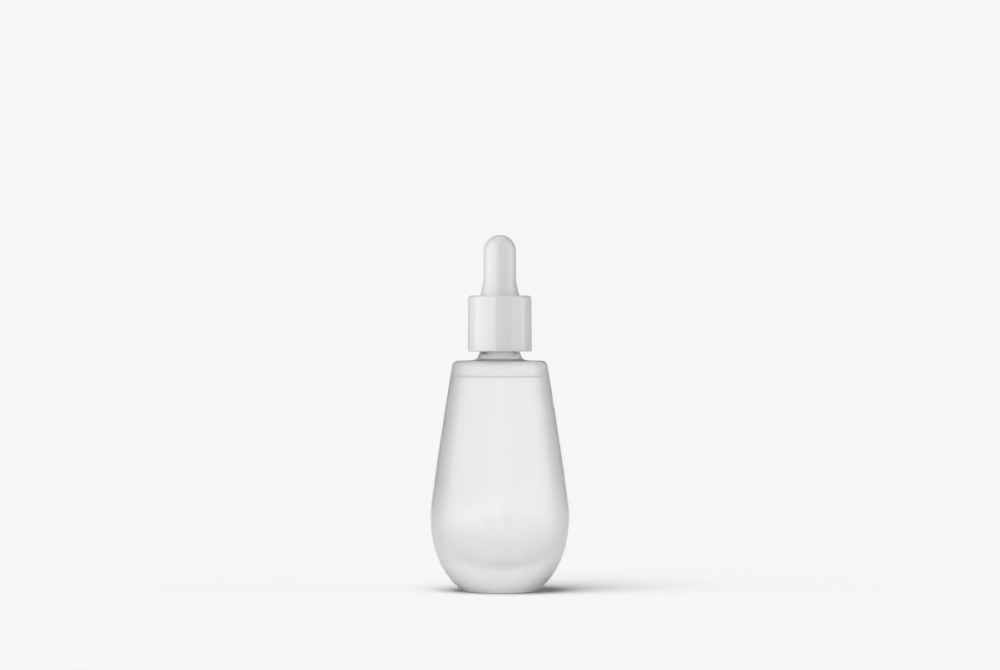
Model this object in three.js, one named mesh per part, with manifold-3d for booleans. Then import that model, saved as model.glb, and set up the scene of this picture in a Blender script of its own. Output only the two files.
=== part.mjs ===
// A 50 ml glass dropper bottle: teardrop glass body, neck wiper, gasket, and a dropper made of
// a glass pipette, its holder, a rubber bulb and a two-piece screw closure.
// Millimetres, +Z up, origin at the centre of the base, everything turned about the Z axis.
import * as THREE from "three";
import { mergeVertices } from "three/addons/utils/BufferGeometryUtils.js";
import Module from "manifold-3d";

const wasm = await Module();
wasm.setup();

// Glass body: outside
const BASE_R = 12.05; // edge of the flat ring that the bottle stands on
const PUSH_UP_R = 8.5; // shallow hollow under the base
const PUSH_UP_H = 0.8;
const BELLY_R = 23.1; // widest place
const BELLY_Z = 25.5;
const SHOULDER_R = 15.87; // where the cone of the body meets the shoulder's rounding
const SHOULDER_Z = 75;
const SHOULDER_TOP_Z = 76.65; // its nearly flat top
const BODY_SLOPE = 0.167; // mm of radius lost per mm of height, just under the shoulder
const NECK_FOOT_R = 7.6; // where the shoulder turns up into the neck
const NECK_FOOT_Z = 77.4;
const NECK_R = 6.4; // the relieved neck under the finish
const NECK_Z = 79.7;

// Glass body: inside
const WALL = 3.4;
const FLOOR_Z = 10.4; // the thick base
const CEILING_Z = 75.3; // the thin shoulder, flat inside with a tight corner
const CEILING_R = 12.85;
const BORE_R = 4.8;

// Neck finish and its screw thread
const FINISH_R = 7.8;
const FINISH_Z = 81.3; // above the relieved neck
const RIM_Z = 90.6;
const THREAD_PITCH = 3.175; // eight turns to the inch
const THREAD_TURNS = 1.25;
const THREAD_ROOT_H = 1.8;
const THREAD_CREST_H = 0.8;
const THREAD_Z = 83; // middle of the glass thread where it starts
const GLASS_CREST_R = 8.4; // both crests are cut back, so that they pass each other
const INSERT_CREST_R = 8.6;

// Stack on the rim, from the bottom up, with a small gap between neighbours
const GAP = 0.25;
const WIPER_FLANGE_H = 0.7;
const GASKET_H = 0.8;
const HOLDER_FLANGE_H = 0.8;
const BULB_FLANGE_H = 1.4;
const INSERT_TOP_H = 1.2;
const WIPER_Z = RIM_Z + GAP;
const GASKET_Z = WIPER_Z + WIPER_FLANGE_H + GAP;
const HOLDER_Z = GASKET_Z + GASKET_H + GAP;
const BULB_Z = HOLDER_Z + HOLDER_FLANGE_H + GAP;
const INSERT_TOP_Z = BULB_Z + BULB_FLANGE_H + GAP;
const FLANGE_R = 7.5;

// Neck wiper
const WIPER_BOTTOM_Z = 82;
const WIPER_LIP_R = 3.75; // the lip that wipes the pipette

// Pipette and its holder
const PIPETTE_R = 3.5;
const PIPETTE_BORE_R = 2.5;
const TIP_Z = 19;
const TIP_TAPER = 10;
const TIP_R = 1.6;
const TIP_BORE_R = 0.8;
const BEAD_R = 4.1;
const BEAD_Z = 99.8; // underside of the bead that the holder's sleeve stops
const PIPETTE_TOP_Z = 101.2;
const HOLDER_SLEEVE_R = 4.2;
const HOLDER_TOP_Z = 99.3;

// Rubber bulb
const BULB_R = 5.4;
const BULB_TOP_Z = 118.5;
const BULB_WALL = 1.3;
const BULB_FOOT_R = 6.55; // where it leaves the collar
const BULB_FLARE_TOP_Z = 104.4;
const BULB_NECK_R = 6.2; // inside the closure's holes
const BULB_BORE_R = 4.5; // around the holder and the bead
const BULB_BORE_TOP_Z = 101.8;

// Screw closure: thread insert and collar shell
const COLLAR_BOTTOM_Z = 79.7;
const COLLAR_TOP_Z = 98.3;
const COLLAR_BOTTOM_R = 10.62;
const COLLAR_TOP_R = 10.47;
const COLLAR_EDGE_R = 0.9;
const COLLAR_BORE_R = 9.85;
const COLLAR_TOP_H = 1.3;
const COLLAR_HOLE_R = 6.8;
const INSERT_R = COLLAR_BORE_R - GAP;
const INSERT_BORE_R = 9.05;
const INSERT_BOTTOM_Z = COLLAR_BOTTOM_Z + 0.4;
const INSERT_HOLE_R = 6.5;

const THREAD_STEPS_PER_TURN = 24;
const THREAD_START = 0.05; // radians; keeps the thread's edges off the edges of its wall's facets
const OVERLAP = 0.4; // how deep a thread's root is sunk into its wall before they are joined
const SLIVER = 0.02; // detail this small is cleaned away after a join

// A solid of revolution about Z from an outline drawn in radius and height.
function turned(outline, sides, curveSteps = 6) {
  return new THREE.LatheGeometry(outline.getPoints(curveSteps), sides).rotateX(Math.PI / 2);
}

// A thread ridge: a long box wound around Z as a right-handed helix, whose crest is narrower
// than its root and sinks into the wall at both ends.
function threadRidge(rootR, crestR, startZ) {
  const steps = Math.round(THREAD_STEPS_PER_TURN * THREAD_TURNS);
  const ridge = new THREE.BoxGeometry(1, 1, 1, steps, 1, 1);
  const outwards = Math.sign(crestR - rootR);
  const sunkR = rootR - outwards * OVERLAP;
  const point = ridge.getAttribute("position");
  for (let i = 0; i < point.count; i++) {
    const along = 0.5 - outwards * point.getX(i); // this way round its faces point out
    const isCrest = point.getY(i) > 0;
    const fade = Math.min(1, 8 * Math.min(along, 1 - along));
    const radius = isCrest ? THREE.MathUtils.lerp(sunkR + outwards * 0.1, crestR, fade) : sunkR;
    const height = isCrest ? THREAD_CREST_H : THREAD_ROOT_H;
    const turns = along * THREAD_TURNS;
    const angle = THREAD_START + turns * 2 * Math.PI;
    point.setXYZ(
      i,
      radius * Math.cos(angle),
      radius * Math.sin(angle),
      startZ + turns * THREAD_PITCH + point.getZ(i) * height,
    );
  }
  return ridge;
}

function toSolid(geometry) {
  const bare = geometry.clone();
  bare.deleteAttribute("normal");
  bare.deleteAttribute("uv");
  const merged = mergeVertices(bare);
  return new wasm.Manifold(
    new wasm.Mesh({
      numProp: 3,
      vertProperties: merged.getAttribute("position").array,
      triVerts: new Uint32Array(merged.getIndex().array),
    }),
  );
}

// Two overlapping closed geometries as one.
function joined(a, b) {
  const mesh = toSolid(a).add(toSolid(b)).simplify(SLIVER).getMesh();
  const geometry = new THREE.BufferGeometry();
  geometry.setAttribute("position", new THREE.BufferAttribute(mesh.vertProperties, 3));
  geometry.setIndex(new THREE.BufferAttribute(mesh.triVerts, 1));
  geometry.computeVertexNormals();
  return geometry;
}

function glassBottle() {
  const innerBellyR = BELLY_R - WALL;
  const outline = new THREE.Path()
    .moveTo(0, PUSH_UP_H)
    .quadraticCurveTo(PUSH_UP_R * 0.6, PUSH_UP_H, PUSH_UP_R, 0)
    .lineTo(BASE_R, 0)
    .bezierCurveTo(BASE_R + 3.85, 2.15, BELLY_R, BELLY_Z - 15.7, BELLY_R, BELLY_Z)
    .bezierCurveTo(
      BELLY_R,
      BELLY_Z + 2.5,
      SHOULDER_R + 25 * BODY_SLOPE,
      SHOULDER_Z - 25,
      SHOULDER_R,
      SHOULDER_Z,
    )
    .bezierCurveTo(15.7, 76, 15, SHOULDER_TOP_Z - 0.05, 13.6, SHOULDER_TOP_Z)
    .lineTo(11.4, SHOULDER_TOP_Z + 0.05)
    .bezierCurveTo(9, SHOULDER_TOP_Z + 0.1, 8.1, 76.9, NECK_FOOT_R, NECK_FOOT_Z)
    .lineTo(NECK_R, NECK_Z)
    .lineTo(NECK_R, FINISH_Z - 1.1)
    .lineTo(FINISH_R, FINISH_Z)
    .lineTo(FINISH_R, RIM_Z - 0.4)
    .lineTo(FINISH_R - 0.4, RIM_Z)
    .lineTo(BORE_R + 0.3, RIM_Z)
    .lineTo(BORE_R, RIM_Z - 0.3)
    .lineTo(BORE_R, CEILING_Z + 0.6)
    .quadraticCurveTo(BORE_R, CEILING_Z, BORE_R + 1, CEILING_Z)
    .lineTo(CEILING_R - 0.6, CEILING_Z)
    .quadraticCurveTo(CEILING_R, CEILING_Z, CEILING_R, CEILING_Z - 0.6)
    .bezierCurveTo(17.2, 47, innerBellyR, BELLY_Z + 4, innerBellyR, BELLY_Z + 0.5)
    .bezierCurveTo(innerBellyR, 18.5, 12, FLOOR_Z, 0, FLOOR_Z);
  return joined(turned(outline, 36, 7), threadRidge(FINISH_R, GLASS_CREST_R, THREAD_Z));
}

function neckWiper() {
  const sleeveR = BORE_R - 0.3;
  const outline = new THREE.Path()
    .moveTo(WIPER_LIP_R, WIPER_BOTTOM_Z)
    .lineTo(WIPER_LIP_R + 0.3, WIPER_BOTTOM_Z)
    .lineTo(sleeveR, WIPER_BOTTOM_Z + 2)
    .lineTo(sleeveR, WIPER_Z)
    .lineTo(FLANGE_R, WIPER_Z)
    .lineTo(FLANGE_R, WIPER_Z + WIPER_FLANGE_H)
    .lineTo(WIPER_LIP_R + 0.3, WIPER_Z + WIPER_FLANGE_H)
    .lineTo(WIPER_LIP_R + 0.15, WIPER_BOTTOM_Z + 1.6)
    .lineTo(WIPER_LIP_R, WIPER_BOTTOM_Z + 0.8)
    .lineTo(WIPER_LIP_R, WIPER_BOTTOM_Z);
  return turned(outline, 32);
}

function sealingGasket() {
  const outline = new THREE.Path()
    .moveTo(PIPETTE_R + GAP, GASKET_Z)
    .lineTo(FLANGE_R, GASKET_Z)
    .lineTo(FLANGE_R, GASKET_Z + GASKET_H)
    .lineTo(PIPETTE_R + GAP, GASKET_Z + GASKET_H)
    .lineTo(PIPETTE_R + GAP, GASKET_Z);
  return turned(outline, 32);
}

function glassPipette() {
  const outline = new THREE.Path()
    .moveTo(TIP_BORE_R, TIP_Z)
    .lineTo(TIP_R, TIP_Z)
    .lineTo(TIP_R + 0.1, TIP_Z + 2.5)
    .bezierCurveTo(TIP_R + 0.3, TIP_Z + 5, PIPETTE_R, TIP_Z + 6, PIPETTE_R, TIP_Z + TIP_TAPER)
    .lineTo(PIPETTE_R, BEAD_Z)
    .lineTo(BEAD_R, BEAD_Z + 0.4)
    .lineTo(BEAD_R, PIPETTE_TOP_Z - 0.4)
    .lineTo(BEAD_R - 0.4, PIPETTE_TOP_Z)
    .lineTo(PIPETTE_BORE_R, PIPETTE_TOP_Z)
    .lineTo(PIPETTE_BORE_R, TIP_Z + TIP_TAPER)
    .bezierCurveTo(PIPETTE_BORE_R, TIP_Z + 6, TIP_BORE_R, TIP_Z + 5, TIP_BORE_R, TIP_Z + 2.5)
    .lineTo(TIP_BORE_R, TIP_Z);
  return turned(outline, 24, 4);
}

function pipetteHolder() {
  const bore = PIPETTE_R + GAP;
  const outline = new THREE.Path()
    .moveTo(bore, HOLDER_Z)
    .lineTo(FLANGE_R, HOLDER_Z)
    .lineTo(FLANGE_R, HOLDER_Z + HOLDER_FLANGE_H)
    .lineTo(HOLDER_SLEEVE_R, HOLDER_Z + HOLDER_FLANGE_H)
    .lineTo(HOLDER_SLEEVE_R, HOLDER_TOP_Z)
    .lineTo(bore, HOLDER_TOP_Z)
    .lineTo(bore, HOLDER_Z);
  return turned(outline, 32);
}

function rubberBulb() {
  const airR = BULB_R - BULB_WALL;
  const domeZ = BULB_TOP_Z - BULB_R;
  const outline = new THREE.Path()
    .moveTo(0, BULB_TOP_Z - BULB_WALL)
    .absarc(0, domeZ, airR, Math.PI / 2, 0, true)
    .lineTo(airR, BULB_BORE_TOP_Z + 1.5)
    .lineTo(BULB_BORE_R, BULB_BORE_TOP_Z)
    .lineTo(BULB_BORE_R, BULB_Z)
    .lineTo(FLANGE_R, BULB_Z)
    .lineTo(FLANGE_R, BULB_Z + BULB_FLANGE_H)
    .lineTo(BULB_NECK_R, BULB_Z + BULB_FLANGE_H)
    .lineTo(BULB_NECK_R, COLLAR_TOP_Z - 1)
    .lineTo(BULB_FOOT_R - 0.02, COLLAR_TOP_Z - 0.6)
    .lineTo(BULB_FOOT_R, COLLAR_TOP_Z)
    .bezierCurveTo(
      BULB_FOOT_R - 0.55,
      COLLAR_TOP_Z + 2.1,
      BULB_R,
      BULB_FLARE_TOP_Z - 2,
      BULB_R,
      BULB_FLARE_TOP_Z,
    )
    .lineTo(BULB_R, domeZ)
    .absarc(0, domeZ, BULB_R, 0, Math.PI / 2, false);
  return turned(outline, 32, 5);
}

function threadInsert() {
  const outline = new THREE.Path()
    .moveTo(INSERT_BORE_R, INSERT_BOTTOM_Z)
    .lineTo(INSERT_R, INSERT_BOTTOM_Z)
    .lineTo(INSERT_R, INSERT_TOP_Z + INSERT_TOP_H)
    .lineTo(INSERT_HOLE_R, INSERT_TOP_Z + INSERT_TOP_H)
    .lineTo(INSERT_HOLE_R, INSERT_TOP_Z)
    .lineTo(INSERT_BORE_R, INSERT_TOP_Z)
    .lineTo(INSERT_BORE_R, INSERT_BOTTOM_Z);
  const ridge = threadRidge(INSERT_BORE_R, INSERT_CREST_R, THREAD_Z - THREAD_PITCH / 2);
  return joined(turned(outline, 36), ridge);
}

function collarShell() {
  const e = COLLAR_EDGE_R;
  const outline = new THREE.Path()
    .moveTo(COLLAR_BORE_R, COLLAR_BOTTOM_Z)
    .lineTo(COLLAR_BOTTOM_R - e / 2, COLLAR_BOTTOM_Z)
    .quadraticCurveTo(COLLAR_BOTTOM_R, COLLAR_BOTTOM_Z, COLLAR_BOTTOM_R, COLLAR_BOTTOM_Z + e / 2)
    .lineTo(COLLAR_TOP_R, COLLAR_TOP_Z - e)
    .quadraticCurveTo(COLLAR_TOP_R, COLLAR_TOP_Z, COLLAR_TOP_R - e, COLLAR_TOP_Z)
    .lineTo(COLLAR_HOLE_R, COLLAR_TOP_Z)
    .lineTo(COLLAR_HOLE_R, COLLAR_TOP_Z - COLLAR_TOP_H)
    .lineTo(COLLAR_BORE_R, COLLAR_TOP_Z - COLLAR_TOP_H)
    .lineTo(COLLAR_BORE_R, COLLAR_BOTTOM_Z);
  return turned(outline, 48, 4);
}

const MATERIALS = {
  frostedGlass: new THREE.MeshStandardMaterial({ color: 0xeceeee, roughness: 0.55 }),
  clearGlass: new THREE.MeshStandardMaterial({ color: 0xf2f6f6, roughness: 0.05 }),
  naturalPlastic: new THREE.MeshStandardMaterial({ color: 0xe6e6e2, roughness: 0.5 }),
  foam: new THREE.MeshStandardMaterial({ color: 0xf0f0ee, roughness: 0.9 }),
  rubber: new THREE.MeshStandardMaterial({ color: 0xe9e9e9, roughness: 0.3 }),
  whitePlastic: new THREE.MeshStandardMaterial({ color: 0xececec, roughness: 0.15 }),
};

const PARTS = [
  ["glass_bottle", glassBottle, "frostedGlass"],
  ["neck_wiper", neckWiper, "naturalPlastic"],
  ["sealing_gasket", sealingGasket, "foam"],
  ["glass_pipette", glassPipette, "clearGlass"],
  ["pipette_holder", pipetteHolder, "naturalPlastic"],
  ["rubber_bulb", rubberBulb, "rubber"],
  ["thread_insert", threadInsert, "whitePlastic"],
  ["collar_shell", collarShell, "whitePlastic"],
];

const bottle = new THREE.Group();
for (const [name, shape, material] of PARTS) {
  const mesh = new THREE.Mesh(shape(), MATERIALS[material].clone());
  mesh.name = name;
  bottle.add(mesh);
}

export default bottle;
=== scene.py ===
"""Looks for a frosted glass dropper bottle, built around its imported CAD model. Metres, +Z up."""

import math

import bmesh
import bpy
import numpy as np
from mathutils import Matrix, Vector


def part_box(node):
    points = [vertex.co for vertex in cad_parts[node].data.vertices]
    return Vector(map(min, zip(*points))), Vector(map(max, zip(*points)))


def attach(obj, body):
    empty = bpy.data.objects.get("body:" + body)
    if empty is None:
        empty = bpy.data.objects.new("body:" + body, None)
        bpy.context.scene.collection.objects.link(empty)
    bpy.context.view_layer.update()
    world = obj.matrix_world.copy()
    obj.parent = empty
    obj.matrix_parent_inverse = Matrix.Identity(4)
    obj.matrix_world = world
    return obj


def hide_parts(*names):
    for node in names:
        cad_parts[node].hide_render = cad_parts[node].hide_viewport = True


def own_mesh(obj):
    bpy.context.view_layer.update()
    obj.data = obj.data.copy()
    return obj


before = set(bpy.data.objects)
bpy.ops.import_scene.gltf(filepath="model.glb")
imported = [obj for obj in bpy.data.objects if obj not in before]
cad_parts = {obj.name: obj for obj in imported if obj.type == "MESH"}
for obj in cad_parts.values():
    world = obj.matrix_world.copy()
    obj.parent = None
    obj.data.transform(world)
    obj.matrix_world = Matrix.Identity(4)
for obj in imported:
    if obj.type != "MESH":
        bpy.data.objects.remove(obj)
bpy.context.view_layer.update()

MM = 0.001

# ---------------------------------------------------------------- sizes, in millimetres


def span(node):
    """(radius, lowest height, highest height) of a turned CAD node, in millimetres."""
    low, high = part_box(node)
    return (high.x - low.x) / 2 / MM, low.z / MM, high.z / MM


BELLY_R, _, RIM_Z = span("glass_bottle")
COLLAR_R, COLLAR_BOTTOM_Z, COLLAR_TOP_Z = span("collar_shell")
INSERT_R, INSERT_BOTTOM_Z, INSERT_TOP_Z = span("thread_insert")
FLANGE_R, WIPER_BOTTOM_Z, WIPER_TOP_Z = span("neck_wiper")
_, GASKET_Z, GASKET_TOP_Z = span("sealing_gasket")
_, HOLDER_Z, HOLDER_TOP_Z = span("pipette_holder")
_, BULB_Z, BULB_TOP_Z = span("rubber_bulb")
BEAD_R, TIP_Z, PIPETTE_TOP_Z = span("glass_pipette")

GAP = 0.25  # between neighbouring pieces

# The glass bottle, outside
PUSH_UP_R = 8.5  # shallow hollow under the base
PUSH_UP_H = 0.8
BASE_R = 12.05  # edge of the flat ring that the bottle stands on
BELLY_Z = 25.5  # widest place
SHOULDER_R = 15.87  # where the cone of the body meets the shoulder's rounding
SHOULDER_Z = 75
SHOULDER_TOP_Z = 76.65  # its nearly flat top
NECK_FOOT_R = 7.6  # where the shoulder turns up into the neck
NECK_FOOT_Z = 77.4
NECK_R = 6.4  # the relieved neck under the finish
NECK_Z = 79.7
FINISH_R = 7.8
FINISH_Z = 81.3

# The glass bottle, inside
WALL = 3.4
FLOOR_Z = 10.4  # middle of the thick base
CEILING_Z = 75.3  # the thin shoulder, flat inside with a tight corner
CEILING_R = 12.85
BORE_R = 4.8

# The serum, a hair larger than the inside of the glass so that no air shows between them
LIQUID_Z = 71.0
SERUM_OVERLAP = 0.06
MENISCUS_WIDTH = 1.2
MENISCUS_HEIGHT = 0.35

# The dropper
PIPETTE_R = 3.5
PIPETTE_BORE_R = 2.5
TIP_R = 1.6
TIP_BORE_R = 0.8
TIP_TAPER = 10
BEAD_HEIGHT = 1.4
HOLDER_SLEEVE_R = 4.2
HOLDER_FLANGE_H = 0.8
BULB_R = 5.4
BULB_WALL = 1.3
BULB_FOOT_R = 6.55  # where it leaves the collar
BULB_FLARE_TOP_Z = 104.4
BULB_NECK_R = 6.2  # inside the closure's holes
BULB_FLANGE_H = 1.4
BULB_BORE_R = 4.5  # around the holder and the bead
BULB_BORE_TOP_Z = 101.8

# The closure
COLLAR_TOP_R = 10.47
COLLAR_BORE_R = 9.85
COLLAR_HOLE_R = 6.8
COLLAR_TOP_H = 1.3
INSERT_BORE_R = 9.05
INSERT_HOLE_R = 6.5
INSERT_TOP_H = 1.2

# The screw thread
THREAD_PITCH = 3.175
THREAD_TURNS = 1.25
THREAD_Z = 83.0  # middle of the glass thread where it starts
THREAD_START = 0.05  # radians
THREAD_STEPS_PER_TURN = 72
THREAD_FADE = 0.125  # share of the ridge's length in which it rises out of its wall, at each end
THREAD_SINK = 0.35  # how far its ends are sunk into the wall
GLASS_CREST_R = 8.4
INSERT_CREST_R = 8.6
# Half a ridge's section, from the root to the crest: height as a share of the crest's, then half the
# width in millimetres. The first row is in the wall, with its depth in millimetres.
THREAD_SECTION = [(-0.4, 0.9), (0.0, 0.85), (0.45, 0.62), (0.85, 0.4), (1.0, 0.14)]

# ---------------------------------------------------------------- outlines and turned shapes

CORNER_STEPS = 5
CORNER_SHARE = 0.48  # most of each neighbouring side that a corner's rounding may take
SHARP_DEGREES = 38  # edges bent more than this are shaded sharp
SAME_POINT = 1e-4
# A long straight stretch gets an extra ring near each end, so that its shading stays straight.
LONG_STRAIGHT = 1.3
EDGE_LOOP = 0.05


class Outline:
    """A profile in radius and height. Corners can be rounded."""

    def __init__(self, r, z, rounding=0.0):
        self.points = [(r, z, rounding)]

    def line(self, r, z, rounding=0.0):
        self.points.append((r, z, rounding))
        return self

    def curve(self, handle_1, handle_2, end, steps):
        """A cubic Bezier from the last point to end. All three points are (radius, height)."""
        a = np.array(self.points[-1][:2])
        b, c, d = np.array(handle_1), np.array(handle_2), np.array(end)
        for t in np.linspace(0, 1, steps + 1)[1:]:
            p = (1 - t) ** 3 * a + 3 * (1 - t) ** 2 * t * b + 3 * (1 - t) * t * t * c + t ** 3 * d
            self.points.append((p[0], p[1], 0.0))
        return self

    def arc(self, centre_z, radius, start, end, steps):
        """Round an arc centred on the axis, from angle start to end, in degrees above the horizontal."""
        for angle in np.radians(np.linspace(start, end, steps + 1)):
            self.points.append((radius * math.cos(angle), centre_z + radius * math.sin(angle), 0.0))
        return self

    def rounded(self, closed):
        """The points, with each rounded corner replaced by an arc's worth of points."""
        done = []
        count = len(self.points)
        for i, (r, z, rounding) in enumerate(self.points):
            here = np.array((r, z))
            has_neighbours = closed or 0 < i < count - 1
            if not rounding or not has_neighbours:
                done.append(here)
                continue
            before = np.array(self.points[i - 1][:2]) - here
            after = np.array(self.points[(i + 1) % count][:2]) - here
            to_before, to_after = np.linalg.norm(before), np.linalg.norm(after)
            reach = min(rounding, CORNER_SHARE * to_before, CORNER_SHARE * to_after)
            start = here + before / to_before * reach
            end = here + after / to_after * reach
            for t in np.linspace(0, 1, CORNER_STEPS + 1):
                done.append((1 - t) ** 2 * start + 2 * (1 - t) * t * here + t * t * end)
        return done

    def rings(self, closed):
        """The rounded points, without repeats, and with the extra ones that long stretches need."""
        done = self.rounded(closed)
        kept = [done[0]]
        for p in done[1:]:
            length = np.linalg.norm(p - kept[-1])
            if length > LONG_STRAIGHT:
                along = (p - kept[-1]) / length * EDGE_LOOP
                kept.append(kept[-1] + along)
                kept.append(p - along)
            if length > SAME_POINT:
                kept.append(p)
        return kept


def mesh_object(name, bm):
    bmesh.ops.recalc_face_normals(bm, faces=bm.faces)
    mesh = bpy.data.meshes.new(name)
    bm.to_mesh(mesh)
    bm.free()
    piece = bpy.data.objects.new(name, mesh)
    bpy.context.scene.collection.objects.link(piece)
    return piece


def shade(piece):
    piece.data.shade_smooth()
    piece.data.set_sharp_from_angle(angle=math.radians(SHARP_DEGREES))


def turned(name, outline, sides, closed=False, second_material=None):
    """A solid of revolution about Z.

    An outline that isn't closed starts and ends on the axis. second_material(r, z) says whether a
    face with its middle there uses the second material slot.
    """
    bm = bmesh.new()
    angles = np.arange(sides) * 2 * math.pi / sides
    rings = []
    for r, z in outline.rings(closed):
        if r < SAME_POINT:
            rings.append([bm.verts.new((0, 0, z * MM))])
            continue
        rings.append([bm.verts.new((r * MM * math.cos(a), r * MM * math.sin(a), z * MM)) for a in angles])
    pairs = list(zip(rings, rings[1:]))
    if closed:
        pairs.append((rings[-1], rings[0]))
    for low, high in pairs:
        for i in range(sides):
            j = (i + 1) % sides
            corners = [low[i % len(low)], low[j % len(low)], high[j % len(high)], high[i % len(high)]]
            corners = list(dict.fromkeys(corners))
            if len(corners) < 3:
                continue
            face = bm.faces.new(corners)
            middle = face.calc_center_median() / MM
            if second_material and second_material(middle.xy.length, middle.z):
                face.material_index = 1
    piece = mesh_object(name, bm)
    shade(piece)
    return piece


def thread_ridge(root_r, crest_r, start_z):
    """A rounded screw ridge, wound as a right-handed helix, that sinks into its wall at both ends."""
    crest_height = abs(crest_r - root_r)
    outwards = math.copysign(1, crest_r - root_r)
    section = [(height, -half_width) for height, half_width in THREAD_SECTION]
    section += [(height, half_width) for height, half_width in reversed(THREAD_SECTION)]
    steps = round(THREAD_STEPS_PER_TURN * THREAD_TURNS)
    bm = bmesh.new()
    rings = []
    for step in range(steps + 1):
        along = step / steps
        risen = math.sin(math.pi / 2 * min(1, min(along, 1 - along) / THREAD_FADE))
        angle = THREAD_START + along * THREAD_TURNS * 2 * math.pi
        z = start_z + along * THREAD_TURNS * THREAD_PITCH
        ring = []
        for height, offset_z in section:
            rise = crest_height * height * risen if height > 0 else height
            r = root_r + outwards * (rise - THREAD_SINK * (1 - risen))
            place = (r * MM * math.cos(angle), r * MM * math.sin(angle), (z + offset_z) * MM)
            ring.append(bm.verts.new(place))
        rings.append(ring)
    count = len(section)
    for a, b in zip(rings, rings[1:]):
        for i in range(count):
            j = (i + 1) % count
            bm.faces.new((a[i], a[j], b[j], b[i]))
    bm.faces.new(rings[0])
    bm.faces.new(rings[-1])
    return mesh_object("ridge", bm)


def join(piece, other):
    """Adds another closed mesh to piece as one solid, and removes the other."""
    adding = piece.modifiers.new("join", "BOOLEAN")
    adding.operation = "UNION"
    adding.solver = "EXACT"
    adding.object = other
    bpy.context.view_layer.update()
    ready = piece.evaluated_get(bpy.context.evaluated_depsgraph_get())
    mesh = bpy.data.meshes.new_from_object(ready)
    piece.modifiers.clear()
    old = piece.data
    piece.data = mesh
    bpy.data.meshes.remove(old)
    bpy.data.objects.remove(other)
    shade(piece)


# ---------------------------------------------------------------- materials


def grey(tone):
    return (tone, tone, tone, 1)


def material(name, **settings):
    """A Principled material, and its node tree and shader for whatever is added to it."""
    made = bpy.data.materials.new(name)
    made.use_nodes = True
    shader = made.node_tree.nodes["Principled BSDF"]
    for socket, value in settings.items():
        shader.inputs[socket.replace("_", " ")].default_value = value
    return made, made.node_tree, shader


def noise(tree, scale, detail=2.0):
    """Noise in the piece's own space, with scale in features per millimetre."""
    place = tree.nodes.new("ShaderNodeTexCoord")
    texture = tree.nodes.new("ShaderNodeTexNoise")
    texture.inputs["Scale"].default_value = scale / MM
    texture.inputs["Detail"].default_value = detail
    tree.links.new(place.outputs["Object"], texture.inputs["Vector"])
    return texture.outputs["Fac"]


def map_range(tree, value, from_low, from_high, low, high, kind="LINEAR"):
    node = tree.nodes.new("ShaderNodeMapRange")
    node.interpolation_type = kind
    for socket, limit in zip(node.inputs[1:5], (from_low, from_high, low, high)):
        socket.default_value = limit
    tree.links.new(value, node.inputs["Value"])
    return node.outputs["Result"]


def spread(tree, value, low, high):
    """Maps most of a noise's range to low..high."""
    return map_range(tree, value, 0.3, 0.7, low, high)


def bump(tree, shader, height, depth_mm, strength=1.0):
    node = tree.nodes.new("ShaderNodeBump")
    node.inputs["Distance"].default_value = depth_mm * MM
    node.inputs["Strength"].default_value = strength
    tree.links.new(height, node.inputs["Height"])
    tree.links.new(node.outputs["Normal"], shader.inputs["Normal"])


def frosted_glass():
    """Acid-etched glass: fine grain, soft blotches in its roughness, and a thin gloss on top."""
    made, tree, shader = material(
        "frosted_glass",
        Base_Color=grey(0.99),
        Transmission_Weight=0.8,
        IOR=1.48,
        Specular_Tint=grey(0.25),
        Coat_Weight=0.3,
        Coat_Roughness=0.06,
    )
    tree.links.new(spread(tree, noise(tree, 0.35), 0.35, 0.39), shader.inputs["Roughness"])
    bump(tree, shader, noise(tree, 7.0, detail=3.0), depth_mm=0.012, strength=0.35)
    return made


def clear(name, tone, ior, blotches, roughest):
    """Clear glass or liquid. Its roughness wanders from none to roughest, in blotches per millimetre."""
    made, tree, shader = material(name, Base_Color=grey(tone), Transmission_Weight=1.0, IOR=ior)
    tree.links.new(spread(tree, noise(tree, blotches), 0.0, roughest), shader.inputs["Roughness"])
    return made


def moulded(name, tone, roughness, ripple_mm, **settings):
    """Moulded plastic, rubber or foam, slightly uneven in its tone, its gloss and its surface."""
    made, tree, shader = material(name, **settings)
    tint = tree.nodes.new("ShaderNodeMix")
    tint.data_type = "RGBA"
    tint.inputs["A"].default_value = grey(tone * 0.985)
    tint.inputs["B"].default_value = grey(tone)
    tree.links.new(spread(tree, noise(tree, 0.15), 0, 1), tint.inputs["Factor"])
    tree.links.new(tint.outputs["Result"], shader.inputs["Base Color"])
    gloss = spread(tree, noise(tree, 0.6, detail=4.0), roughness * 0.8, roughness * 1.25)
    tree.links.new(gloss, shader.inputs["Roughness"])
    bump(tree, shader, noise(tree, 0.25, detail=1.0), ripple_mm)
    return made


MATERIALS = {
    "frosted": frosted_glass(),
    "inner_glass": clear("inner_glass", tone=0.995, ior=1.5, blotches=0.2, roughest=0.03),
    "pipette_glass": clear("pipette_glass", tone=0.995, ior=1.5, blotches=0.2, roughest=0.03),
    "serum": clear("serum", tone=0.99, ior=1.45, blotches=0.1, roughest=0.02),
    "collar": moulded("collar_plastic", tone=0.74, roughness=0.06, ripple_mm=0.002),
    "insert": moulded("insert_plastic", tone=0.8, roughness=0.3, ripple_mm=0.004),
    "rubber": moulded(
        "bulb_rubber",
        tone=0.74,
        roughness=0.09,
        ripple_mm=0.004,
        Subsurface_Weight=0.1,
        Subsurface_Scale=0.002,
    ),
    "natural": moulded(
        "natural_plastic",
        tone=0.8,
        roughness=0.35,
        ripple_mm=0.004,
        Transmission_Weight=0.35,
        IOR=1.51,
    ),
    "foam": moulded("gasket_foam", tone=0.82, roughness=0.7, ripple_mm=0.01),
}


def dress(piece, body, slot, *names):
    """Gives piece its materials and the body that it rides on. slot, the record's material slot, is not
    used.
    """
    for name in names:
        piece.data.materials.append(MATERIALS[name])
    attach(piece, body)


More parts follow.
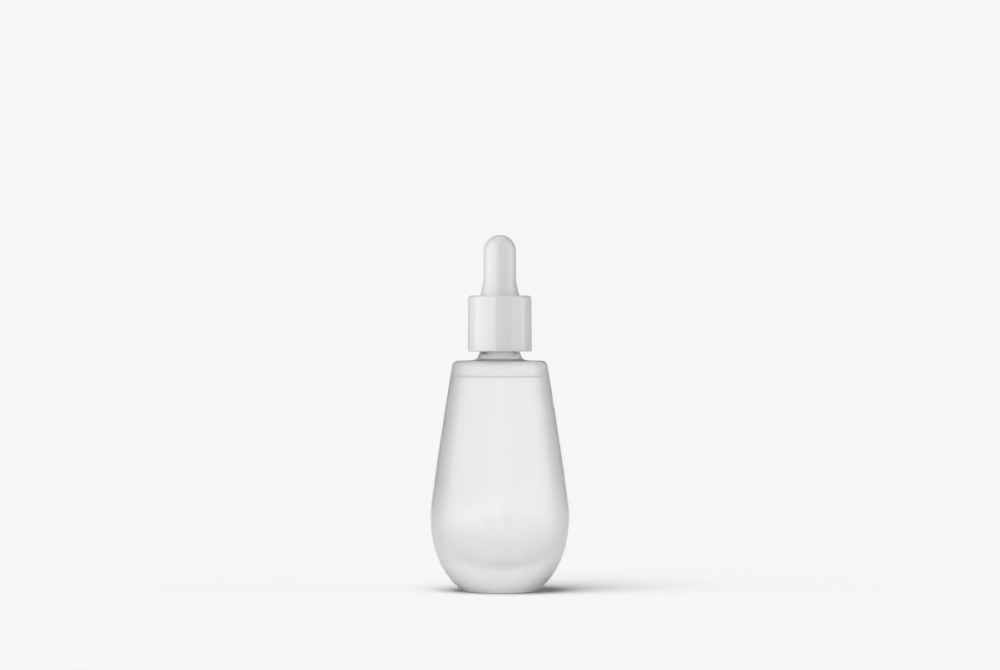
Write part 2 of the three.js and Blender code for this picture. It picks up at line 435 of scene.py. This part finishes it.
# ---------------------------------------------------------------- pieces


def cavity(outline, offset=0.0):
    """Adds the inside of the bottle, from the bore's lower end down to the middle of the floor."""
    bore_r = BORE_R + offset
    corner_r = CEILING_R + offset
    inner_r = BELLY_R - WALL + offset
    top_z = CEILING_Z + offset
    floor_z = FLOOR_Z - offset
    outline.line(bore_r, top_z + 0.6)
    outline.curve((bore_r, top_z + 0.2), (5.2, top_z), (5.8, top_z), 6)
    outline.line(12.2, top_z - 0.05)
    outline.curve((12.6, top_z - 0.05), (corner_r - 0.05, top_z - 0.2), (corner_r, top_z - 0.6), 8)
    outline.curve((17.2 + offset, 47), (inner_r, BELLY_Z + 4), (inner_r, BELLY_Z + 0.5), 28)
    outline.curve((inner_r, 18.5), (12.0, floor_z), (0, floor_z), 32)


def is_inside_glass(r, z):
    """Whether a face of the bottle is in the bore or the belly, rather than on the frosted outside."""
    in_bore = r < BORE_R + 0.05 and z < RIM_Z - 0.8
    # A double cone that runs through the thickness of the wall, so the inner wall is all within it.
    mid_wall_r = BELLY_R - 2.4 - abs(z - BELLY_Z) * 0.156
    in_belly = r < mid_wall_r and z < CEILING_Z + 0.3
    return z > FLOOR_Z - 0.1 and (in_bore or in_belly)


def make_bottle():
    outline = Outline(0, PUSH_UP_H).curve((4, PUSH_UP_H), (6, 0.75), (PUSH_UP_R, 0), 12)
    outline.line(BASE_R, 0, 0.5)
    outline.curve((15.9, 2.15), (BELLY_R, BELLY_Z - 15.7), (BELLY_R, BELLY_Z), 40)
    outline.curve((BELLY_R, BELLY_Z + 2.5), (20.05, 50), (SHOULDER_R, SHOULDER_Z), 32)
    outline.curve((15.7, 76.0), (15.0, 76.6), (13.6, SHOULDER_TOP_Z), 14)
    outline.line(11.4, 76.7)
    outline.curve((9.0, 76.75), (8.1, 76.9), (NECK_FOOT_R, NECK_FOOT_Z), 14)
    outline.line(NECK_R, NECK_Z, 0.3).line(NECK_R, NECK_Z + 0.5, 0.3)
    outline.line(FINISH_R, FINISH_Z, 0.5).line(FINISH_R, RIM_Z, 0.9)
    outline.line(BORE_R, RIM_Z, 0.7)
    cavity(outline)
    piece = turned("frosted_bottle", outline, sides=160, second_material=is_inside_glass)
    join(piece, thread_ridge(FINISH_R, GLASS_CREST_R, THREAD_Z))
    dress(piece, "bottle", "frosted_glass", "frosted", "inner_glass")
    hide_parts("glass_bottle")
    return piece


def make_serum():
    """The liquid, up to its level, where it climbs the glass a little."""
    whole = Outline(BORE_R, RIM_Z)
    cavity(whole, SERUM_OVERLAP)
    wall = [point for point in whole.points if point[1] < LIQUID_Z]
    rim_r = wall[0][0]
    outline = Outline(0, LIQUID_Z).line(rim_r - MENISCUS_WIDTH, LIQUID_Z)
    rim = (rim_r - 0.08, LIQUID_Z + MENISCUS_HEIGHT)
    outline.curve((rim_r - 0.5, LIQUID_Z), (rim_r - 0.2, LIQUID_Z + 0.1), rim, 8)
    outline.points += wall
    piece = turned("serum", outline, sides=160)
    dress(piece, "bottle", "clear_glass", "serum")


def make_wiper():
    """A plug in the bore with a flange on the rim, and a lip at the bottom that wipes the pipette."""
    lip_r = PIPETTE_R + GAP
    sleeve_r = BORE_R - 0.3
    flange_z = RIM_Z + GAP
    outline = Outline(lip_r, WIPER_BOTTOM_Z, 0.1).line(lip_r + 0.3, WIPER_BOTTOM_Z, 0.1)
    outline.line(sleeve_r, WIPER_BOTTOM_Z + 2, 0.5).line(sleeve_r, flange_z, 0.15)
    outline.line(FLANGE_R, flange_z, 0.15).line(FLANGE_R, WIPER_TOP_Z, 0.25)
    outline.line(lip_r + 0.3, WIPER_TOP_Z, 0.3).line(lip_r + 0.15, WIPER_BOTTOM_Z + 1.6, 0.3)
    outline.line(lip_r, WIPER_BOTTOM_Z + 0.8, 0.3)
    piece = turned("neck_wiper_insert", outline, sides=96, closed=True)
    dress(piece, "bottle", "natural_plastic", "natural")
    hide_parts("neck_wiper")


def make_gasket():
    bore = PIPETTE_R + GAP
    outline = Outline(bore, GASKET_Z, 0.15).line(FLANGE_R, GASKET_Z, 0.2)
    outline.line(FLANGE_R, GASKET_TOP_Z, 0.2).line(bore, GASKET_TOP_Z, 0.15)
    piece = turned("foam_gasket", outline, sides=96, closed=True)
    dress(piece, "gasket", "gasket_foam", "foam")
    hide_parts("sealing_gasket")


def make_pipette():
    """A tube with a bead at the top, drawn in to a narrow tip."""
    taper_z = TIP_Z + TIP_TAPER
    bead_z = PIPETTE_TOP_Z - BEAD_HEIGHT
    outline = Outline(TIP_BORE_R, TIP_Z, 0.2).line(TIP_R, TIP_Z, 0.4).line(TIP_R + 0.1, TIP_Z + 2.5)
    outline.curve((TIP_R + 0.3, TIP_Z + 5), (PIPETTE_R, TIP_Z + 6), (PIPETTE_R, taper_z), 20)
    outline.line(PIPETTE_R, bead_z, 0.4).line(BEAD_R, bead_z + 0.4, 0.4)
    outline.line(BEAD_R, PIPETTE_TOP_Z, 0.6).line(PIPETTE_BORE_R, PIPETTE_TOP_Z, 0.5)
    outline.line(PIPETTE_BORE_R, taper_z)
    outline.curve((PIPETTE_BORE_R, TIP_Z + 6), (TIP_BORE_R, TIP_Z + 5), (TIP_BORE_R, TIP_Z + 2.5), 20)
    piece = turned("pipette_tube", outline, sides=64, closed=True)
    dress(piece, "dropper", "clear_glass", "pipette_glass")
    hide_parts("glass_pipette")


def make_holder():
    bore = PIPETTE_R + GAP
    flange_top = HOLDER_Z + HOLDER_FLANGE_H
    outline = Outline(bore, HOLDER_Z, 0.2).line(FLANGE_R, HOLDER_Z, 0.2)
    outline.line(FLANGE_R, flange_top, 0.2).line(HOLDER_SLEEVE_R, flange_top, 0.2)
    outline.line(HOLDER_SLEEVE_R, HOLDER_TOP_Z, 0.15).line(bore, HOLDER_TOP_Z, 0.1)
    piece = turned("pipette_collet", outline, sides=96, closed=True)
    dress(piece, "dropper", "natural_plastic", "natural")
    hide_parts("pipette_holder")


def make_bulb_teat():
    """The part of the bulb above the collar, which a squeeze flattens."""
    air_r = BULB_R - BULB_WALL
    dome_z = BULB_TOP_Z - BULB_R
    lower_z = COLLAR_TOP_Z - 0.4
    outline = Outline(0, BULB_TOP_Z - BULB_WALL)
    outline.arc(dome_z, air_r, 88, 0, 14)
    outline.line(air_r, BULB_BORE_TOP_Z + 1.5, 0.6).line(BULB_BORE_R, BULB_BORE_TOP_Z, 0.6)
    outline.line(BULB_BORE_R, lower_z, 0.1).line(BULB_FOOT_R, lower_z, 0.1)
    outline.line(BULB_FOOT_R, COLLAR_TOP_Z)
    outline.curve((6.0, COLLAR_TOP_Z + 2.1), (BULB_R, 102.4), (BULB_R, BULB_FLARE_TOP_Z), 20)
    outline.arc(dome_z, BULB_R, 0, 88, 26)
    outline.line(0, BULB_TOP_Z)
    piece = turned("bulb_teat", outline, sides=128)
    dress(piece, "dropper", "bulb_rubber", "rubber")
    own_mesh(piece)
    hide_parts("rubber_bulb")


def make_bulb_foot():
    """The flange that the closure clamps, and a sleeve inside the teat that a squeeze leaves round."""
    flange_top = BULB_Z + BULB_FLANGE_H
    outline = Outline(BULB_BORE_R, BULB_Z, 0.2).line(FLANGE_R, BULB_Z, 0.3)
    outline.line(FLANGE_R, flange_top, 0.3).line(BULB_NECK_R, flange_top, 0.2)
    outline.line(BULB_NECK_R, COLLAR_TOP_Z - 1.2, 0.3)
    outline.line(BULB_FOOT_R - 0.05, COLLAR_TOP_Z - 0.7, 0.2).line(BULB_FOOT_R - 0.06, COLLAR_TOP_Z)
    outline.curve((5.5, 101.6), (4.1, 102.6), (3.0, 106.5), 20)
    outline.line(2.6, 106.4).line(4.0, 102.2, 0.8)
    outline.line(BULB_BORE_R, 101.4, 0.3)
    piece = turned("bulb_foot", outline, sides=128, closed=True)
    dress(piece, "dropper", "bulb_rubber", "rubber")
    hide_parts("rubber_bulb")


def make_insert():
    top_inside = INSERT_TOP_Z - INSERT_TOP_H
    outline = Outline(INSERT_BORE_R, INSERT_BOTTOM_Z, 0.2).line(INSERT_R, INSERT_BOTTOM_Z, 0.2)
    outline.line(INSERT_R, INSERT_TOP_Z, 0.4).line(INSERT_HOLE_R, INSERT_TOP_Z, 0.2)
    outline.line(INSERT_HOLE_R, top_inside, 0.2).line(INSERT_BORE_R, top_inside, 0.4)
    piece = turned("threaded_inner_cap", outline, sides=128, closed=True)
    join(piece, thread_ridge(INSERT_BORE_R, INSERT_CREST_R, THREAD_Z - THREAD_PITCH / 2))
    dress(piece, "closure", "insert_plastic", "insert")
    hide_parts("thread_insert")


def make_collar():
    top_inside = COLLAR_TOP_Z - COLLAR_TOP_H
    outline = Outline(COLLAR_BORE_R, COLLAR_BOTTOM_Z, 0.1).line(COLLAR_R, COLLAR_BOTTOM_Z, 0.35)
    outline.line(COLLAR_TOP_R, COLLAR_TOP_Z, 1.1).line(COLLAR_HOLE_R, COLLAR_TOP_Z, 0.25)
    outline.line(COLLAR_HOLE_R, top_inside, 0.1).line(COLLAR_BORE_R, top_inside, 0.3)
    piece = turned("gloss_collar", outline, sides=192, closed=True)
    dress(piece, "closure", "collar_plastic", "collar")
    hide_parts("collar_shell")


bottle = make_bottle()
make_serum()
make_wiper()
make_gasket()
make_pipette()
make_holder()
make_bulb_teat()
make_bulb_foot()
make_insert()
make_collar()

# ---------------------------------------------------------------- studio

PALE = 0.9216  # the backdrop's brightness, linear

# Panels of light around the object: azimuths from the front, with + to the right, then elevations,
# all in degrees, and the brightness at the first and the second azimuth.
PANELS = [
    ((-100, -16), (-10, 60), (2.0, 1.9)),
    ((42, 102), (-10, 50), (0.9, 2.1)),
    ((137, 223), (-10, 60), (0.15, 0.15)),
    ((120, 240), (60, 90), (1.2, 1.2)),
]
AMBIENT = 0.08  # added everywhere, and all that there is between the panels
# Rays that have passed through glass see these panels instead, which are more even.
THROUGH_GLASS = [
    ((-100, -16), (-10, 60), (0.65, 0.65)),
    ((-16, 42), (-10, 60), (1.2, 1.2)),
    ((42, 102), (-10, 60), (0.65, 0.75)),
    ((137, 223), (-10, 60), (0.2, 0.2)),
    ((-180, 180), (60, 90), (2.0, 2.0)),
]
THROUGH_AMBIENT = 0.68
SIDE_FADE = 1.0  # degrees over which a panel's left and right sides fade
TOP_FADE = 4.0  # and its top and bottom

FLOOR_REACH = 8.0  # metres from the middle to each edge
FLOOR_TONE = 0.2
FLOOR_GLOW = 0.09  # stands for the studio's light that reaches even the darkest shadow

LAMP_STRENGTH = 11.45
LAMP_WIDTH = 50
LAMP_FROM = (-0.2, -0.28, 0.93)  # the way to the lamp over the floor
FILL_STRENGTH = 1.35
FILL_WIDTH = 120
FILL_FROM = (0.6, -0.75, 0.05)  # the way to the lamp in front of the glass

LENS = 136.7  # on a sensor 36 mm wide
CAMERA_PLACE = (0.00005, -1.265, 0.0852)
BOUNCES = 24  # a ray through the bottle, the serum and the pipette meets about a dozen surfaces


def math_node(tree, operation, a, b=None, c=None):
    node = tree.nodes.new("ShaderNodeMath")
    node.operation = operation
    for socket, value in zip(node.inputs, (a, b, c)):
        if value is None:
            continue
        if isinstance(value, (int, float)):
            socket.default_value = value
        else:
            tree.links.new(value, socket)
    return node.outputs[0]


def window(tree, value, low, high, soft):
    """1 where value is between low and high, falling to 0 over soft outside them."""
    rise = map_range(tree, value, low - soft, low, 0, 1, "SMOOTHSTEP")
    fall = map_range(tree, value, high, high + soft, 1, 0, "SMOOTHSTEP")
    return math_node(tree, "MULTIPLY", rise, fall)


def directions(tree):
    """The azimuth from the front and the elevation of a ray, in degrees."""
    place = tree.nodes.new("ShaderNodeTexCoord")
    axes = tree.nodes.new("ShaderNodeSeparateXYZ")
    tree.links.new(place.outputs["Generated"], axes.inputs[0])
    x, y, z = axes.outputs
    to_degrees = 180 / math.pi
    around = math_node(tree, "ARCTAN2", x, math_node(tree, "MULTIPLY", y, -1))
    azimuth = math_node(tree, "MULTIPLY", around, to_degrees)
    elevation = math_node(tree, "MULTIPLY", math_node(tree, "ARCSINE", z), to_degrees)
    return azimuth, elevation


def panels_of_light(tree, azimuth, elevation, panels, ambient):
    """The brightness of a ray's direction, with ambient added to that of every panel."""
    total = ambient
    for (left, right), (low, high), (first, last) in panels:
        middle = (left + right) / 2
        turn = math_node(tree, "WRAP", azimuth, middle + 180, middle - 180)
        height = window(tree, elevation, low, high, TOP_FADE)
        across = window(tree, turn, left, right, SIDE_FADE)
        tone = map_range(tree, turn, left, right, first, last)
        panel = math_node(tree, "MULTIPLY", math_node(tree, "MULTIPLY", height, across), tone)
        total = math_node(tree, "ADD", panel, total)
    return total


def make_world():
    """The panels, and the flat pale backdrop that the camera sees instead of them."""
    world = bpy.data.worlds.new("studio")
    bpy.context.scene.world = world
    world.use_nodes = True
    tree = world.node_tree
    azimuth, elevation = directions(tree)
    ray = tree.nodes.new("ShaderNodeLightPath")
    choice = tree.nodes.new("ShaderNodeMix")
    direct = panels_of_light(tree, azimuth, elevation, PANELS, AMBIENT)
    through = panels_of_light(tree, azimuth, elevation, THROUGH_GLASS, THROUGH_AMBIENT)
    tree.links.new(ray.outputs["Is Transmission Ray"], choice.inputs["Factor"])
    tree.links.new(direct, choice.inputs["A"])
    tree.links.new(through, choice.inputs["B"])
    lit = tree.nodes["Background"]
    tree.links.new(choice.outputs["Result"], lit.inputs["Strength"])
    seen = tree.nodes.new("ShaderNodeBackground")
    seen.inputs["Strength"].default_value = PALE
    for shader in (lit, seen):
        shader.inputs["Color"].default_value = grey(1)
    mix = tree.nodes.new("ShaderNodeMixShader")
    tree.links.new(ray.outputs["Is Camera Ray"], mix.inputs["Fac"])
    tree.links.new(lit.outputs[0], mix.inputs[1])
    tree.links.new(seen.outputs[0], mix.inputs[2])
    tree.links.new(mix.outputs[0], tree.nodes["World Output"].inputs["Surface"])


def make_floor():
    bm = bmesh.new()
    bmesh.ops.create_grid(bm, x_segments=8, y_segments=8, size=FLOOR_REACH)
    floor = mesh_object("floor", bm)
    made, _, _ = material(
        "pale_floor",
        Base_Color=grey(FLOOR_TONE),
        Roughness=1.0,
        Specular_IOR_Level=0,
        Emission_Color=grey(1),
        Emission_Strength=FLOOR_GLOW,
    )
    floor.data.materials.append(made)
    return floor


def make_lamp(name, strength, width, place, lit):
    """A broad lamp that lights one object only: width degrees across, in the direction of place."""
    receivers = bpy.data.collections.new("lit_by_" + name)
    receivers.objects.link(lit)
    sun = bpy.data.lights.new(name, "SUN")
    sun.energy = strength
    sun.angle = math.radians(width)
    lamp = bpy.data.objects.new(name, sun)
    bpy.context.scene.collection.objects.link(lamp)
    lamp.rotation_euler = Vector(place).to_track_quat("Z", "Y").to_euler()
    lamp.light_linking.receiver_collection = receivers


def make_camera():
    """Level, in front of the object, with the frame's middle at the camera's height."""
    data = bpy.data.cameras.new("camera")
    data.lens = LENS
    data.sensor_width = 36
    data.clip_end = 100
    camera = bpy.data.objects.new("camera", data)
    bpy.context.scene.collection.objects.link(camera)
    camera.location = CAMERA_PLACE
    camera.rotation_euler = (math.pi / 2, 0, 0)
    bpy.context.scene.camera = camera


make_world()
floor = make_floor()
make_lamp("overhead", LAMP_STRENGTH, LAMP_WIDTH, LAMP_FROM, lit=floor)
make_lamp("fill", FILL_STRENGTH, FILL_WIDTH, FILL_FROM, lit=bottle)
make_camera()

scene = bpy.context.scene
scene.view_settings.view_transform = "Standard"
scene.cycles.max_bounces = BOUNCES
scene.cycles.transmission_bounces = BOUNCES
